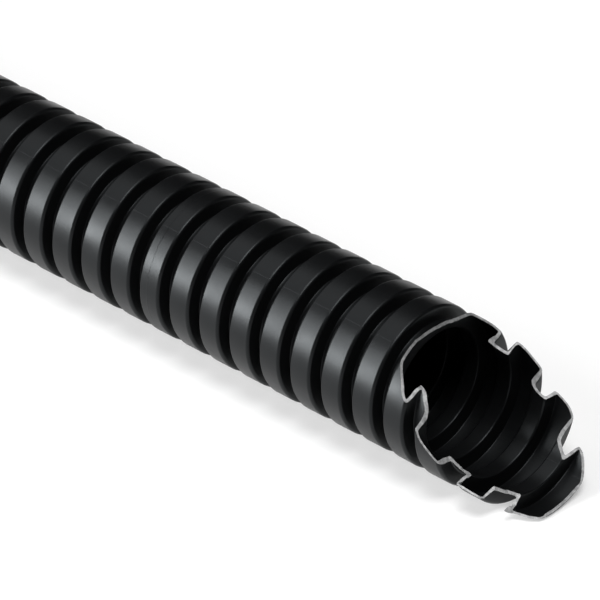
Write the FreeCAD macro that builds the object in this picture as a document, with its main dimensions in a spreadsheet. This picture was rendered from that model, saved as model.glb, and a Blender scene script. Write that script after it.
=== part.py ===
"""Corrugated pliable conduit: one metre of ring-waved plastic tube, lying on its waves.

The tube runs along X with its lowest line on Z = 0. Its square end looks along -X. Its other end, at +X,
is cut off on the slant, with the open mouth turned up and the long lip near the bottom, a little
towards +Y.
"""
import FreeCAD, Part
import Sketcher
import enum
import math
import os

Vector = FreeCAD.Vector

# Alias, value in millimetres or degrees, what it measures
SIZES = [
    ("length", 1000, "cut length, made up of whole waves"),
    ("outer_diameter", 25, "over the crests"),
    ("bore_diameter", 19.2, "clear way through the roots"),
    ("wall", 0.5, "thickness, square to the surface"),
    ("pitch", 6.5, "from one wave to the next"),
    ("crest_width", 3.75, "flat top of a wave"),
    ("flank_run", 0.5, "axial length of a wave's side"),
    ("cut_angle", 47.5, "slant of the cut, from square"),
    ("lip_turn", 10, "how far the lip is rolled from straight down"),
]


class At(enum.IntEnum):
    """How a sketch's constraints number the ends of a line, the origin point and the upright axis."""
    START = 1
    END = 2
    ORIGIN = -1
    UP_AXIS = -2


def make_sheet(doc):
    """Put the sizes into the document's spreadsheet, one aliased cell each."""
    sheet = doc.addObject("Spreadsheet::Sheet", "sizes")
    for row, (alias, value, note) in enumerate(SIZES, start=1):
        sheet.set(f"A{row}", alias)
        sheet.set(f"B{row}", str(value))
        sheet.set(f"C{row}", note)
        sheet.setAlias(f"B{row}", alias)
    doc.recompute()
    return sheet


def upright_sketch(body, name):
    """A sketch on the body's XZ plane: across is X, up is Z."""
    sketch = body.newObject("Sketcher::SketchObject", name)
    plane = next(item for item in body.Origin.OriginFeatures if item.Role == "XZ_Plane")
    sketch.AttachmentSupport = [(plane, "")]
    sketch.MapMode = "FlatFace"
    sketch.Visibility = False
    return sketch


def closed_outline(sketch, corners):
    """Straight lines from corner to corner and back to the first, joined at their ends."""
    count = len(corners)
    for index, corner in enumerate(corners):
        after = corners[(index + 1) % count]
        sketch.addGeometry(Part.LineSegment(Vector(*corner, 0), Vector(*after, 0)), False)
    for index in range(count):
        sketch.addConstraint(Sketcher.Constraint("Coincident", index, At.END, (index + 1) % count, At.START))


def relate(sketch, kind, *places):
    """A constraint without a value, such as Horizontal or Parallel."""
    sketch.addConstraint(Sketcher.Constraint(kind, *places))


def measure(sketch, name, kind, places, formula, value):
    """A named dimension that follows a formula of the sheet; the value only starts it off."""
    number = sketch.addConstraint(Sketcher.Constraint(kind, *places, value))
    sketch.renameConstraint(number, name)
    sketch.setExpression(f"Constraints.{name}", formula)


def wave_section(body, sheet):
    """The wall of one wave, from the middle of one root to the middle of the next."""
    crest_radius = sheet.outer_diameter / 2
    bore_radius = sheet.bore_diameter / 2
    root_radius = bore_radius + sheet.wall
    inner_crest_radius = crest_radius - sheet.wall
    rise_end = (sheet.pitch - sheet.crest_width) / 2
    rise_start = rise_end - sheet.flank_run
    slope = math.atan2(crest_radius - root_radius, sheet.flank_run)
    shift = sheet.wall * math.tan(slope / 2)

    sketch = upright_sketch(body, "wave_section")
    closed_outline(sketch, [
        (0, root_radius),
        (rise_start, root_radius),
        (rise_end, crest_radius),
        (sheet.pitch - rise_end, crest_radius),
        (sheet.pitch - rise_start, root_radius),
        (sheet.pitch, root_radius),
        (sheet.pitch, bore_radius),
        (sheet.pitch - rise_start - shift, bore_radius),
        (sheet.pitch - rise_end - shift, inner_crest_radius),
        (rise_end + shift, inner_crest_radius),
        (rise_start + shift, bore_radius),
        (0, bore_radius),
    ])
    root, rise, crest, fall, next_root, next_end = range(6)
    inner_next_root, inner_fall, inner_crest, inner_rise, inner_root, first_end = range(6, 12)

    for line in (root, crest, next_root, inner_next_root, inner_crest, inner_root):
        relate(sketch, "Horizontal", line)
    for line in (next_end, first_end):
        relate(sketch, "Vertical", line)
    relate(sketch, "PointOnObject", root, At.START, At.UP_AXIS)
    relate(sketch, "Horizontal", root, At.END, next_root, At.START)
    relate(sketch, "Horizontal", inner_root, At.START, inner_next_root, At.END)
    relate(sketch, "Equal", root, next_root)
    relate(sketch, "Parallel", rise, inner_rise)
    relate(sketch, "Parallel", fall, inner_fall)

    measure(sketch, "pitch", "DistanceX", (root, At.START, next_root, At.END), "sizes.pitch", sheet.pitch)
    measure(sketch, "crest_width", "DistanceX", (crest, At.START, crest, At.END), "sizes.crest_width",
            sheet.crest_width)
    for name, line in (("rise_run", rise), ("fall_run", fall)):
        measure(sketch, name, "DistanceX", (line, At.START, line, At.END), "sizes.flank_run", sheet.flank_run)
    measure(sketch, "crest_radius", "DistanceY", (At.ORIGIN, At.START, crest, At.START),
            "sizes.outer_diameter / 2", crest_radius)
    measure(sketch, "bore_radius", "DistanceY", (At.ORIGIN, At.START, first_end, At.START),
            "sizes.bore_diameter / 2", bore_radius)
    for name, kind, places in (
        ("root_wall", "DistanceY", (first_end, At.START, first_end, At.END)),
        ("crest_wall", "DistanceY", (inner_crest, At.END, crest, At.START)),
        ("rise_wall", "Distance", (inner_rise, At.END, rise)),
        ("fall_wall", "Distance", (inner_fall, At.START, fall)),
    ):
        measure(sketch, name, kind, places, "sizes.wall", sheet.wall)
    return sketch


def corrugated_wall(body, sheet):
    """Turn the section into one ring wave and repeat it along the tube."""
    section = wave_section(body, sheet)
    wave = body.newObject("PartDesign::Revolution", "wave")
    wave.Profile = section
    wave.ReferenceAxis = (section, ["H_Axis"])
    wave.Angle = 360
    body.Document.recompute()

    waves = body.newObject("PartDesign::LinearPattern", "waves")
    waves.Originals = [wave]
    waves.Direction = (section, ["H_Axis"])
    waves.Mode = "Spacing"
    waves.setExpression("Offset", "sizes.pitch")
    waves.setExpression("Occurrences", "round(sizes.length / sizes.pitch)")
    body.Tip = waves
    body.Document.recompute()
    return waves


def cut_outline(body, sheet):
    """The side view of what is sawn off: all that lies beyond a slanting line through the lip."""
    crest_radius = sheet.outer_diameter / 2
    slant = math.tan(math.radians(sheet.cut_angle))
    lip = round(sheet.length / sheet.pitch) * sheet.pitch

    sketch = upright_sketch(body, "cut_outline")
    closed_outline(sketch, [
        (lip + crest_radius * slant, -sheet.outer_diameter),
        (lip + sheet.outer_diameter * slant, -sheet.outer_diameter),
        (lip + sheet.outer_diameter * slant, sheet.outer_diameter),
        (lip - 3 * crest_radius * slant, sheet.outer_diameter),
    ])
    low_side, far_side, high_side, cut_line = range(4)
    lip_point = sketch.addGeometry(Part.Point(Vector(lip, -crest_radius, 0)), False)
    sketch.setConstruction(lip_point, True)

    for line in (low_side, high_side):
        relate(sketch, "Horizontal", line)
    relate(sketch, "Vertical", far_side)
    relate(sketch, "PointOnObject", lip_point, At.START, cut_line)
    measure(sketch, "lip_place", "DistanceX", (At.ORIGIN, At.START, lip_point, At.START),
            "round(sizes.length / sizes.pitch) * sizes.pitch", lip)
    measure(sketch, "lip_radius", "DistanceY", (lip_point, At.START, At.ORIGIN, At.START),
            "sizes.outer_diameter / 2", crest_radius)
    measure(sketch, "cut_angle", "Angle", (cut_line,), "(sizes.cut_angle - 90) * 1 deg",
            math.radians(sheet.cut_angle - 90))
    measure(sketch, "reach_down", "DistanceY", (low_side, At.START, At.ORIGIN, At.START),
            "sizes.outer_diameter", sheet.outer_diameter)
    measure(sketch, "reach_up", "DistanceY", (At.ORIGIN, At.START, high_side, At.START),
            "sizes.outer_diameter", sheet.outer_diameter)
    measure(sketch, "reach_out", "DistanceX", (lip_point, At.START, far_side, At.START),
            "sizes.outer_diameter * tan(sizes.cut_angle * 1 deg)", sheet.outer_diameter * slant)
    return sketch


def slanting_cut(body, sheet):
    """Cut the far end off on the slant, right through the tube."""
    cut = body.newObject("PartDesign::Pocket", "slanting_cut")
    cut.Profile = cut_outline(body, sheet)
    cut.Type = "ThroughAll"
    cut.SideType = "Symmetric"
    body.Tip = cut
    body.Document.recompute()
    return cut


def check(doc, body, uncut_volume):
    """Stop before anything is written if an object failed or the cut took nothing off."""
    for item in doc.Objects:
        if {"Invalid", "Error"} & set(item.State):
            raise RuntimeError(f"{item.Name} failed: {item.State}")
    shape = body.Shape
    if shape.isNull() or not shape.isValid() or len(shape.Solids) != 1:
        raise RuntimeError(f"{body.Label} isn't one sound solid")
    if shape.Volume >= uncut_volume:
        raise RuntimeError("the slanting cut took nothing off")


def main():
    """Build the tube, roll it a little, lay it on the floor about the middle of its length and write it."""
    doc = FreeCAD.newDocument("corrugated_conduit")
    sheet = make_sheet(doc)
    conduit = doc.addObject("PartDesign::Body", "conduit")
    conduit.Label = "conduit"
    uncut_volume = corrugated_wall(conduit, sheet).Shape.Volume
    slanting_cut(conduit, sheet)

    middle = conduit.Shape.BoundBox.Center.x
    rolled = FreeCAD.Rotation(Vector(1, 0, 0), sheet.lip_turn)
    conduit.Placement = FreeCAD.Placement(Vector(-middle, 0, 0), rolled)
    conduit.setExpression("Placement.Base.z", "sizes.outer_diameter / 2")
    conduit.setExpression("Placement.Rotation.Angle", "sizes.lip_turn * 1 deg")
    doc.recompute()

    check(doc, conduit, uncut_volume)
    os.makedirs("parts", exist_ok=True)
    conduit.Shape.exportStep(f"parts/{conduit.Label}.step")
    box = conduit.Shape.BoundBox
    print(f"{conduit.Label}: {box.XLength:.2f} x {box.YLength:.2f} x {box.ZLength:.2f} mm,"
          f" {conduit.Shape.Volume / 1000:.2f} cm3, {len(conduit.Shape.Faces)} faces")


main()
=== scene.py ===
"""Looks of one metre of corrugated pliable conduit, lying on its waves with the sawn end to the front."""

import math

import bmesh
import bpy
from mathutils import Matrix, Vector


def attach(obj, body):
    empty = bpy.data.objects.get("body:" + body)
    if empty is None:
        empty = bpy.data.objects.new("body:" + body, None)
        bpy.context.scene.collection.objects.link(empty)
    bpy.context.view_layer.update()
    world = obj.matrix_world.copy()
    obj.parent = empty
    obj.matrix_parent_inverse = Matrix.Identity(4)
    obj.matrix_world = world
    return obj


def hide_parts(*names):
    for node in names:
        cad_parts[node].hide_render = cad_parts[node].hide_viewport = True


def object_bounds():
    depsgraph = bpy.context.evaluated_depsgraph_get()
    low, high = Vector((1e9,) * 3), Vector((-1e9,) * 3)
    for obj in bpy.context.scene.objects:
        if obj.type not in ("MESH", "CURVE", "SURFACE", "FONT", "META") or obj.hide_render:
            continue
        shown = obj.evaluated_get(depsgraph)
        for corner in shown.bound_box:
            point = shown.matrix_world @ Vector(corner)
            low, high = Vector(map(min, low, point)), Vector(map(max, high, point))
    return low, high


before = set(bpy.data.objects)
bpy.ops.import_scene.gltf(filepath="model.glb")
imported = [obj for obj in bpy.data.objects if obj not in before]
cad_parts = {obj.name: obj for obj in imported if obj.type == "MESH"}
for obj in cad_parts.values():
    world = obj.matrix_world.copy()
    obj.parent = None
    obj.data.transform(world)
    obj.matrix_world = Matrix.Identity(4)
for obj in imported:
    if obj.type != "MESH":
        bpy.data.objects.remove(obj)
cad_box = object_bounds()

MM = 0.001

# The tube's wall, in millimetres
PITCH = 6.5
CREST_WIDTH = 3.95
FLANK_RUN = 0.3
CREST_RADIUS = 12.5
ROOT_RADIUS = 10.1
ROOT_WALL = 0.46
CREST_WALL = 0.32
BORE_RADIUS = ROOT_RADIUS - ROOT_WALL
INNER_CREST_RADIUS = CREST_RADIUS - CREST_WALL
RISE_END = (PITCH - CREST_WIDTH) / 2
RISE_START = RISE_END - FLANK_RUN
FLANK_SLOPE = math.atan2(CREST_RADIUS - ROOT_RADIUS, FLANK_RUN)
ROOT_SHIFT = ROOT_WALL * math.tan(FLANK_SLOPE / 2)
CREST_SHIFT = CREST_WALL * math.tan(FLANK_SLOPE / 2)

# Roundings of the wall's corners: millimetres along each side, and steps
RISE_ROUNDING = (0.22, 2)
FALL_ROUNDING = (0.5, 4)
ROOT_ROUNDING = (0.25, 2)
INNER_CREST_ROUNDING = (0.2, 2)
INNER_ROOT_ROUNDING = (0.3, 3)

# Runs of waves from the square end: how many, sides round the tube, outer and inner corners rounded or not
RUNS = [(132, 32, False, False), (14, 72, True, False), (9, 144, True, True)]

# Points nearer than this are one, and points nearer than this to the blade's plane lie on it, in millimetres
MERGE = 0.001
ON_PLANE = 0.0001

# Corners sharper than this keep their edge
SHARP_CORNER = math.radians(40)

# Where the tube stands in the frame, in millimetres
SQUARE_END_X = cad_box[0].x / MM
AXIS_HEIGHT = CREST_RADIUS

# How the sawn end has sprung: waves from the square end, then millimetres along the tube, millimetres
# further on the far side, and how much wider the tube is from the near lower to the far upper side
SPRUNG = [
    (0, 0.0, 0.0, 0.0), (150, -1.1, 0.0, 0.0), (151, -1.07, 0.15, 0.005), (152, -0.51, 0.08, 0.005),
    (153, -0.11, 0.25, 0.007), (154, 0.0, -0.2, 0.008),
]

# The saw's way through the mouth: a slanting plane, and round the tube (degrees from the lip, rising
# towards +Y) the millimetres by which the blade strayed from it and the share by which it cut squarely
LIP_X = 499.305
CUT_SLOPE = 1.0846
LIP_TURN = math.radians(10)
MID_WALL_RADIUS = 11.0
SAW_WAY = [
    (-180, 1.72, 0), (-175.6, 1.9, 0), (-172, 1.97, 0), (-169.9, 2.02, 0), (-167.5, 2.1, 0),
    (-165.3, 2.29, 0), (-161.9, 2.03, 0), (-157.6, 1.82, 0), (-153.8, 1.6, 0), (-150, 1.2, 0),
    (-147, 0.85, 0), (-143, 0.75, 0), (-136, 0.67, 0), (-133.8, 0.98, -0.4), (-131, 0.92, -0.5),
    (-127, 0.71, -0.63), (-124, 0.55, -0.7), (-121.5, 0.53, -0.6), (-116.8, 0.4, -0.4),
    (-112.3, -0.03, -0.2), (-108.4, -0.42, 0), (-103.6, -0.56, 0), (-100, -1.01, 0), (-96.6, -1.2, 0),
    (-90, -1.1, 0), (-86, -1.1, 0), (-83, -1.32, 0), (-78.5, -1.8, 0), (-72, -2.0, -0.4),
    (-66, -2.5, -0.1), (-64, -2.08, -1.32), (-60.5, -1.73, -2.84), (-57.5, -1.3, -2.2),
    (-54.5, 0.7, -0.5), (-52, 0.85, 0), (-48, 0.51, 0), (-44, 0.35, 0), (-40, 0.1, 0), (-37, -0.3, 0),
    (-35, 0.0, 0), (-33, 0.6, 0), (-30, 1.1, 0), (-24, 1.6, 0), (-20, 1.75, 0), (-10, 1.35, 0),
    (0, 1.15, 0), (10, 1.35, 0), (18, 1.6, 0), (25, 1.4, 0), (30.6, 1.2, -0.15), (34.5, 0.99, -0.3),
    (38, 0.84, -0.44), (42, 0.67, -0.5), (45, 0.43, -0.3), (48.4, 0.5, -0.15), (53.3, 0.9, 0),
    (56.4, 0.98, 0), (59.2, 1.18, 0), (64.3, 1.27, 0), (66.8, 1.46, 0), (69.4, 1.27, 0), (73, 0.75, 0),
    (74.3, 0.3, 0), (75.6, -0.5, 0), (77, -0.78, 0), (80.7, -0.76, 0), (85, -0.47, 0), (86.5, -0.3, 0),
    (88.5, 0.1, 0), (92.9, 0.17, 0), (97.2, 0.31, 0), (101.8, 0.59, 0), (105.2, 0.66, 0),
    (106.5, 0.5, 0), (108.5, 0.0, 0), (110.5, -1.4, 0), (113.8, -1.63, 0), (117, -1.2, 0),
    (119.5, -1.0, 0), (125, -0.95, 0), (131.9, -1.4, 0), (135.6, -1.1, 0), (139.9, -0.8, 0),
    (144.9, -0.53, 0), (151.5, -0.05, 0), (160.4, 0.68, 0), (167.3, 1.08, 0), (176, 1.54, 0),
    (180, 1.72, 0),
]

# The black plastic: its own colour, and the level and tint of its gloss
BLACK = (0.004, 0.0042, 0.0045, 1)
GLOSS_LEVEL = 0.19
GLOSS_TINT = (0.9, 0.965, 1.0, 1)
SATIN_ROUGHNESS = (0.3, 0.4)

# The sawn rim: its darker and paler tone, its roughness, and a painted shade that darkens it towards the
# top,
# where it is less lit: the share of its tone kept between two heights in metres, from the floor upwards
TORN_TONES = ((0.24, 0.242, 0.245, 1), (0.5, 0.502, 0.505, 1))
TORN_ROUGHNESS = 0.7
# Painted shade: the sawn rim keeps all its tone low down and less than half of it at the top
PAINTED_SHADE_HEIGHTS = (0.018, 0.0235)
PAINTED_SHADE_SHARES = (1.0, 0.42)

# Noise patterns: grains a metre, octaves, and the weight of the finer ones
PEEL = (900.0, 3.0, 0.5)
CLOUD = (120.0, 4.0, 0.6)
TORN = (1500.0, 3.0, 0.6)

# The middle of a pattern's values, which is spread over the whole range of what follows it
CLOUD_SPAN = (0.3, 0.7)
TORN_SPAN = (0.35, 0.65)

# Bumps: strength, and height in metres
PEEL_BUMP = (0.06, 0.0001)
LINE_BUMP = (0.3, 0.00005)
TORN_BUMP = (0.3, 0.0001)

# Faint raised lines: the mould's parting plane (angle from straight down towards +Y) and a ring round one
# crest (place along the tube), and how wide they are to each side, in metres
PARTING_ANGLE = math.radians(-145.5)
RING_X = 0.42479
LINE_HALF_WIDTH = 0.00013

# The floor: width in metres, colour, roughness, and the glow that the camera and glossy surfaces see in it,
# which grows to full white between two distances in metres, where the lamps' light fades
FLOOR_SIZE = 60
FLOOR_COLOUR = (0.6, 0.6, 0.6, 1)
FLOOR_ROUGHNESS = 0.9
FLOOR_GLOW = (0.4, 1.0)
GLOW_DISTANCES = (0.8, 1.8)

# What the room around gives: to the object, and to the camera
ROOM_LIGHT = (0.01, 1.0)
WHITE = (1, 1, 1, 1)

# Soft panels of light: name, centre and the point faced, in metres, width, height, radiance
PANELS = [
    ("key_panel", (-1.25, -2.35, 1.34), (0.43, 0, 1.34), 1.5, 2.5, 9.4),
    ("low_key_panel", (-1.24, -2.32, 0.46), (0.43, 0, 0.46), 1.7, 0.88, 16.5),
    ("ceiling_panel", (-0.45, -0.12, 2.60), (-0.45, -0.12, 0), 4.2, 2.0, 1.35),
    ("overhead_panel", (1.05, -0.3, 2.35), (0.45, 0, 0), 1.15, 1.15, 8.6),
]

# View: lens in millimetres, where the camera stands in metres, and the way it looks
LENS = 361.9
SENSOR_WIDTH = 36
CAMERA_PLACE = Vector((0.98036, -0.5807, 0.5468))
AZIMUTH = math.radians(42.6)
ELEVATION = math.radians(33.97)


def lip_direction():
    """Out from the axis, square to it, to the tip of the lip."""
    return Vector((0, math.sin(LIP_TURN), -math.cos(LIP_TURN)))


def angle_from_lip(point):
    """How far round the tube a point is from the lip, in degrees, from -180 to 180, rising towards +Y."""
    turned = math.atan2(point.y, -point.z) - LIP_TURN
    return math.degrees(math.atan2(math.sin(turned), math.cos(turned)))


def between(table, place):
    """The rest of a table's row at a place between two of its rows, eased from one to the next."""
    for low, high in zip(table, table[1:]):
        if low[0] <= place <= high[0]:
            part = (place - low[0]) / (high[0] - low[0])
            eased = part * part * (3 - 2 * part)
            return [a + (b - a) * eased for a, b in zip(low[1:], high[1:])]
    return table[-1][1:]


def draw_chain(mesh, corners):
    """A chain of edges in the XZ plane, as its list of vertices."""
    points = [mesh.verts.new((x, 0, radius)) for x, radius in corners]
    for first, second in zip(points, points[1:]):
        mesh.edges.new((first, second))
    return points


def round_corners(mesh, points, amount, steps):
    """Round these corners of a chain."""
    bmesh.ops.bevel(mesh, geom=points, affect="VERTICES", offset=amount, offset_type="OFFSET",
                    segments=steps, profile=0.5, material=-1)


def wave_chains(mesh, outer_rounded, inner_rounded):
    """Outer and inner line of one wave's wall, from the middle of a root to the middle of the next."""
    outer = draw_chain(mesh, [
        (0, ROOT_RADIUS), (RISE_START, ROOT_RADIUS), (RISE_END, CREST_RADIUS),
        (PITCH - RISE_END, CREST_RADIUS), (PITCH - RISE_START, ROOT_RADIUS), (PITCH, ROOT_RADIUS),
    ])
    inner = draw_chain(mesh, [
        (0, BORE_RADIUS), (RISE_START + ROOT_SHIFT, BORE_RADIUS),
        (RISE_END + CREST_SHIFT, INNER_CREST_RADIUS), (PITCH - RISE_END - CREST_SHIFT, INNER_CREST_RADIUS),
        (PITCH - RISE_START - ROOT_SHIFT, BORE_RADIUS), (PITCH, BORE_RADIUS),
    ])
    rise, fall, roots = [outer[2]], [outer[3]], [outer[1], outer[4]]
    inner_crests, inner_roots = inner[2:4], [inner[1], inner[4]]
    if outer_rounded:
        round_corners(mesh, rise, *RISE_ROUNDING)
        round_corners(mesh, fall, *FALL_ROUNDING)
        round_corners(mesh, roots, *ROOT_ROUNDING)
    if inner_rounded:
        round_corners(mesh, inner_crests, *INNER_CREST_ROUNDING)
        round_corners(mesh, inner_roots, *INNER_ROOT_ROUNDING)


def wall_run(first_wave, count, sides, outer_rounded, inner_rounded):
    """The two surfaces of a run of waves as a mesh of its own, open but for the tube's square end."""
    run = bmesh.new()
    wave_chains(run, outer_rounded, inner_rounded)
    one_wave = run.verts[:] + run.edges[:]
    for number in range(1, count):
        copy = bmesh.ops.duplicate(run, geom=one_wave)["geom"]
        moved = [item for item in copy if isinstance(item, bmesh.types.BMVert)]
        bmesh.ops.translate(run, verts=moved, vec=(number * PITCH, 0, 0))
    bmesh.ops.remove_doubles(run, verts=run.verts, dist=MERGE)
    mid_root = [
        vert for vert in run.verts
        if len(vert.link_edges) == 2 and abs(vert.co.x / PITCH - round(vert.co.x / PITCH)) < MERGE
    ]
    bmesh.ops.dissolve_verts(run, verts=mid_root)
    if not first_wave:
        run.edges.new([vert for vert in run.verts if vert.co.x < MERGE])
    bmesh.ops.translate(run, verts=run.verts, vec=(first_wave * PITCH, 0, 0))
    bmesh.ops.spin(run, geom=run.verts[:] + run.edges[:], cent=(0, 0, 0), axis=(1, 0, 0),
                   angle=math.tau, steps=sides, use_merge=True)
    return run


def add_run(mesh, run):
    """Put one mesh's geometry into another."""
    carrier = bpy.data.meshes.new("run")
    run.to_mesh(carrier)
    run.free()
    mesh.from_mesh(carrier)
    bpy.data.meshes.remove(carrier)


def open_rim(mesh, low_x, high_x):
    """Open edges that lie between two places along the tube."""
    return [
        edge for edge in mesh.edges
        if edge.is_boundary and all(low_x <= vert.co.x <= high_x for vert in edge.verts)
    ]


def of_surface(edges, inner):
    """Those of the edges that are on the inner or on the outer surface."""
    middle = (ROOT_RADIUS + BORE_RADIUS) / 2
    return [edge for edge in edges if (math.hypot(*edge.verts[0].co.yz) < middle) == inner]


def join_run(wall, run, seam):
    """Join a run of waves to the wall before it, by a band in the root that the two share."""
    for vert in wall.verts:
        if vert.co.x > seam - MERGE:
            vert.co.x -= RISE_START / 2
    add_run(wall, run)
    meeting = open_rim(wall, seam - RISE_START, seam + MERGE)
    for inner in (False, True):
        bmesh.ops.bridge_loops(wall, edges=of_surface(meeting, inner))


def spring(mesh):
    """Let the sawn end spring a little out of shape."""
    for vert in mesh.verts:
        along, skew, oval = between(SPRUNG, vert.co.x / PITCH)
        round_from_down = math.atan2(vert.co.y, -vert.co.z)
        vert.co.x += along + skew * math.sin(round_from_down)
        wider = 1 - oval * math.sin(2 * round_from_down)
        vert.co.y *= wider
        vert.co.z *= wider


def stray(mesh, sign):
    """Shift every point along the tube by what the blade strayed there from the slanting plane."""
    for vert in mesh.verts:
        angle = angle_from_lip(vert.co)
        strayed, squared = between(SAW_WAY, angle)
        inward = squared * (MID_WALL_RADIUS - math.hypot(vert.co.y, vert.co.z))
        vert.co.x += sign * (strayed + CUT_SLOPE * inward * math.cos(math.radians(angle)))


def saw_off(mesh):
    """Cut the mouth along the blade's way and close the wall there, with faces of the second material."""
    stray(mesh, -1)
    lip = Vector((LIP_X - SQUARE_END_X, 0, 0)) + lip_direction() * CREST_RADIUS
    normal = Vector((1, 0, 0)) - lip_direction() * CUT_SLOPE
    everything = mesh.verts[:] + mesh.edges[:] + mesh.faces[:]
    bmesh.ops.bisect_plane(mesh, geom=everything, dist=ON_PLANE, plane_co=lip, plane_no=normal,
                           clear_outer=True)
    mouth = open_rim(mesh, PITCH, math.inf)
    closed = bmesh.ops.triangle_fill(mesh, use_beauty=True, edges=mouth, normal=normal.normalized())
    for item in closed["geom"]:
        if isinstance(item, bmesh.types.BMFace):
            item.material_index = 1
    stray(mesh, 1)


def build_wall():
    """The tube's wall: plain waves, finer ones near the mouth, a square end and a slanting one."""
    wall = bmesh.new()
    first_wave = 0
    for count, sides, outer_rounded, inner_rounded in RUNS:
        run = wall_run(first_wave, count, sides, outer_rounded, inner_rounded)
        if first_wave:
            join_run(wall, run, first_wave * PITCH)
        else:
            add_run(wall, run)
        first_wave += count

    spring(wall)
    saw_off(wall)
    bmesh.ops.recalc_face_normals(wall, faces=wall.faces)
    for face in wall.faces:
        face.smooth = face.material_index == 0
    place = Matrix.Translation((SQUARE_END_X, 0, AXIS_HEIGHT))
    bmesh.ops.transform(wall, matrix=Matrix.Scale(MM, 4) @ place, verts=wall.verts)
    return wall


def lay_tube():
    """The tube as one object that stands for the solid's node."""
    wall = build_wall()
    mesh = bpy.data.meshes.new("conduit_wall")
    wall.to_mesh(mesh)
    wall.free()
    mesh.set_sharp_from_angle(angle=SHARP_CORNER)
    piece = bpy.data.objects.new("conduit_wall", mesh)
    bpy.context.scene.collection.objects.link(piece)
    shading = piece.modifiers.new("even_shading", "WEIGHTED_NORMAL")
    shading.keep_sharp = True
    mesh.materials.append(satin_plastic())
    mesh.materials.append(sawn_plastic())
    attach(piece, "root")
    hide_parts("conduit")


def new_material(name):
    """A material with nodes, and its node tree and surface shader."""
    material = bpy.data.materials.new(name)
    material.use_nodes = True
    tree = material.node_tree
    return material, tree, tree.nodes["Principled BSDF"]


def add_node(tree, kind, settings=None, **inputs):
    """A node with its settings; inputs named by socket take a value or another node's output."""
    node = tree.nodes.new(kind)
    for name, value in (settings or {}).items():
        setattr(node, name, value)
    for name, value in inputs.items():
        socket = node.inputs[int(name[1:])] if name[1:].isdigit() else node.inputs[name.replace("_", " ")]
        if isinstance(value, bpy.types.NodeSocket):
            tree.links.new(value, socket)
        else:
            socket.default_value = value
    return node


def object_place(tree):
    """Where a point is on its object, in metres."""
    return add_node(tree, "ShaderNodeTexCoord").outputs["Object"]


def noise(tree, place, grains, octaves, weight):
    """A cloudy pattern."""
    pattern = add_node(tree, "ShaderNodeTexNoise", Vector=place, Scale=grains, Detail=octaves,
                       Roughness=weight)
    return pattern.outputs["Fac"]


def spread(tree, value, span, result):
    """A value taken from one span to another, and held at its ends."""
    node = add_node(tree, "ShaderNodeMapRange", Value=value, From_Min=span[0], From_Max=span[1],
                    To_Min=result[0], To_Max=result[1])
    return node.outputs["Result"]


def sum_up(tree, operation, *values):
    """One step of arithmetic on one or two values."""
    sockets = {f"_{number}": value for number, value in enumerate(values)}
    return add_node(tree, "ShaderNodeMath", {"operation": operation}, **sockets).outputs[0]


def bump(tree, height, strength, distance, **under):
    """A surface direction that follows a pattern of heights, over another bump if one is given."""
    node = add_node(tree, "ShaderNodeBump", Height=height, Strength=strength, Distance=distance, **under)
    return node.outputs["Normal"]


def raised_line(tree, place, facing, distance):
    """Height of a faint line where a plane, given by its normal and distance, meets the surface."""
    along = add_node(tree, "ShaderNodeVectorMath", {"operation": "DOT_PRODUCT"}, _0=place, _1=facing)
    aside = sum_up(tree, "SUBTRACT", along.outputs["Value"], distance)
    return spread(tree, sum_up(tree, "ABSOLUTE", aside), (0.0, LINE_HALF_WIDTH), (1.0, 0.0))


def satin_plastic():
    """Black moulded plastic: satin, with a faint orange peel and the mould's lines."""
    material, tree, shader = new_material("satin_black_plastic")
    shader.inputs["Base Color"].default_value = BLACK
    shader.inputs["Specular IOR Level"].default_value = GLOSS_LEVEL
    shader.inputs["Specular Tint"].default_value = GLOSS_TINT
    place = object_place(tree)
    satin = spread(tree, noise(tree, place, *CLOUD), CLOUD_SPAN, SATIN_ROUGHNESS)
    peel = bump(tree, noise(tree, place, *PEEL), *PEEL_BUMP)
    across_parting = (0, math.cos(PARTING_ANGLE), math.sin(PARTING_ANGLE))
    parting = raised_line(tree, place, across_parting, AXIS_HEIGHT * MM * math.sin(PARTING_ANGLE))
    ring = raised_line(tree, place, (1, 0, 0), RING_X)
    surface = bump(tree, sum_up(tree, "MAXIMUM", parting, ring), *LINE_BUMP, Normal=peel)
    tree.links.new(satin, shader.inputs["Roughness"])
    tree.links.new(surface, shader.inputs["Normal"])
    return material


def sawn_plastic():
    """The same plastic where it was sawn: rough and whitened, with painted shade that darkens it towards the
    top.
    """
    material, tree, shader = new_material("sawn_black_plastic")
    shader.inputs["Roughness"].default_value = TORN_ROUGHNESS
    place = object_place(tree)
    torn = noise(tree, place, *TORN)
    tone = add_node(tree, "ShaderNodeValToRGB", Fac=torn)
    for stop, position, colour in zip(tone.color_ramp.elements, TORN_SPAN, TORN_TONES):
        stop.position = position
        stop.color = colour
    # Painted shade: the rim's tone is scaled down with height, because the top of the rim is less lit
    height = add_node(tree, "ShaderNodeSeparateXYZ", Vector=place).outputs["Z"]
    painted_top_shade = spread(tree, height, PAINTED_SHADE_HEIGHTS, PAINTED_SHADE_SHARES)
    shade = add_node(tree, "ShaderNodeVectorMath", {"operation": "SCALE"}, _0=tone.outputs["Color"],
                     Scale=painted_top_shade)
    tree.links.new(shade.outputs["Vector"], shader.inputs["Base Color"])
    tree.links.new(bump(tree, torn, *TORN_BUMP), shader.inputs["Normal"])
    return material


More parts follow.
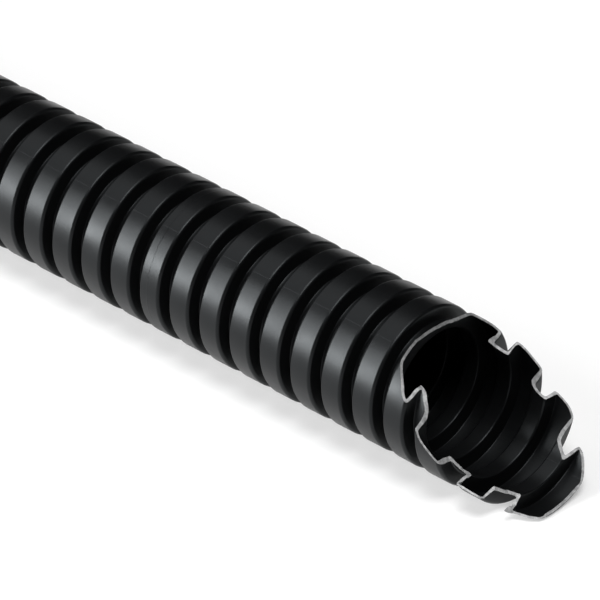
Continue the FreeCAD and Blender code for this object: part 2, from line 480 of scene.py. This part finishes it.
def floor_material():
    """Pale floor: what the camera and glossy surfaces see of it is lifted to white, and shadows stay."""
    material, tree, shader = new_material("pale_floor")
    shader.inputs["Base Color"].default_value = FLOOR_COLOUR
    shader.inputs["Roughness"].default_value = FLOOR_ROUGHNESS
    shader.inputs["Emission Color"].default_value = WHITE
    rays = add_node(tree, "ShaderNodeLightPath").outputs
    seen = sum_up(tree, "MAXIMUM", rays["Is Camera Ray"], rays["Is Glossy Ray"])
    seen = sum_up(tree, "MAXIMUM", seen, rays["Is Transmission Ray"])
    away = add_node(tree, "ShaderNodeVectorMath", {"operation": "LENGTH"}, _0=object_place(tree))
    glow = spread(tree, away.outputs["Value"], GLOW_DISTANCES, FLOOR_GLOW)
    tree.links.new(sum_up(tree, "MULTIPLY", seen, glow), shader.inputs["Emission Strength"])
    return material


def lay_floor():
    """A wide level floor at the tube's lowest line."""
    sheet = bmesh.new()
    bmesh.ops.create_grid(sheet, x_segments=1, y_segments=1, size=FLOOR_SIZE / 2)
    mesh = bpy.data.meshes.new("floor")
    sheet.to_mesh(mesh)
    sheet.free()
    mesh.materials.append(floor_material())
    floor = bpy.data.objects.new("floor", mesh)
    bpy.context.scene.collection.objects.link(floor)


def hang_panel(name, centre, faced, width, height, radiance):
    """A soft rectangular lamp, unseen by the camera."""
    lamp = bpy.data.lights.new(name, "AREA")
    lamp.shape = "RECTANGLE"
    lamp.size = width
    lamp.size_y = height
    lamp.energy = radiance * width * height * math.pi
    panel = bpy.data.objects.new(name, lamp)
    panel.location = centre
    panel.rotation_mode = "QUATERNION"
    panel.rotation_quaternion = (Vector(faced) - Vector(centre)).to_track_quat("-Z", "Y")
    panel.visible_camera = False
    bpy.context.scene.collection.objects.link(panel)


def dim_room():
    """A dark room for the object, white to the camera."""
    world = bpy.data.worlds.new("room")
    bpy.context.scene.world = world
    world.use_nodes = True
    tree = world.node_tree
    room = tree.nodes["Background"]
    room.inputs["Color"].default_value = WHITE
    rays = add_node(tree, "ShaderNodeLightPath").outputs
    tree.links.new(spread(tree, rays["Is Camera Ray"], (0.0, 1.0), ROOM_LIGHT), room.inputs["Strength"])


def stand_camera():
    """The photograph's view: a long lens that looks down on the mouth from its open side."""
    lens = bpy.data.cameras.new("long_lens")
    lens.lens = LENS
    lens.sensor_width = SENSOR_WIDTH
    camera = bpy.data.objects.new("camera", lens)
    back = Vector((
        math.sin(AZIMUTH) * math.cos(ELEVATION),
        -math.cos(AZIMUTH) * math.cos(ELEVATION),
        math.sin(ELEVATION),
    ))
    camera.location = CAMERA_PLACE
    camera.rotation_mode = "QUATERNION"
    camera.rotation_quaternion = (-back).to_track_quat("-Z", "Y")
    bpy.context.scene.collection.objects.link(camera)
    bpy.context.scene.camera = camera


def main():
    """Build the tube, its floor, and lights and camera."""
    bpy.context.scene.view_settings.view_transform = "Standard"
    lay_tube()
    lay_floor()
    for panel in PANELS:
        hang_panel(*panel)
    dim_room()
    stand_camera()


main()
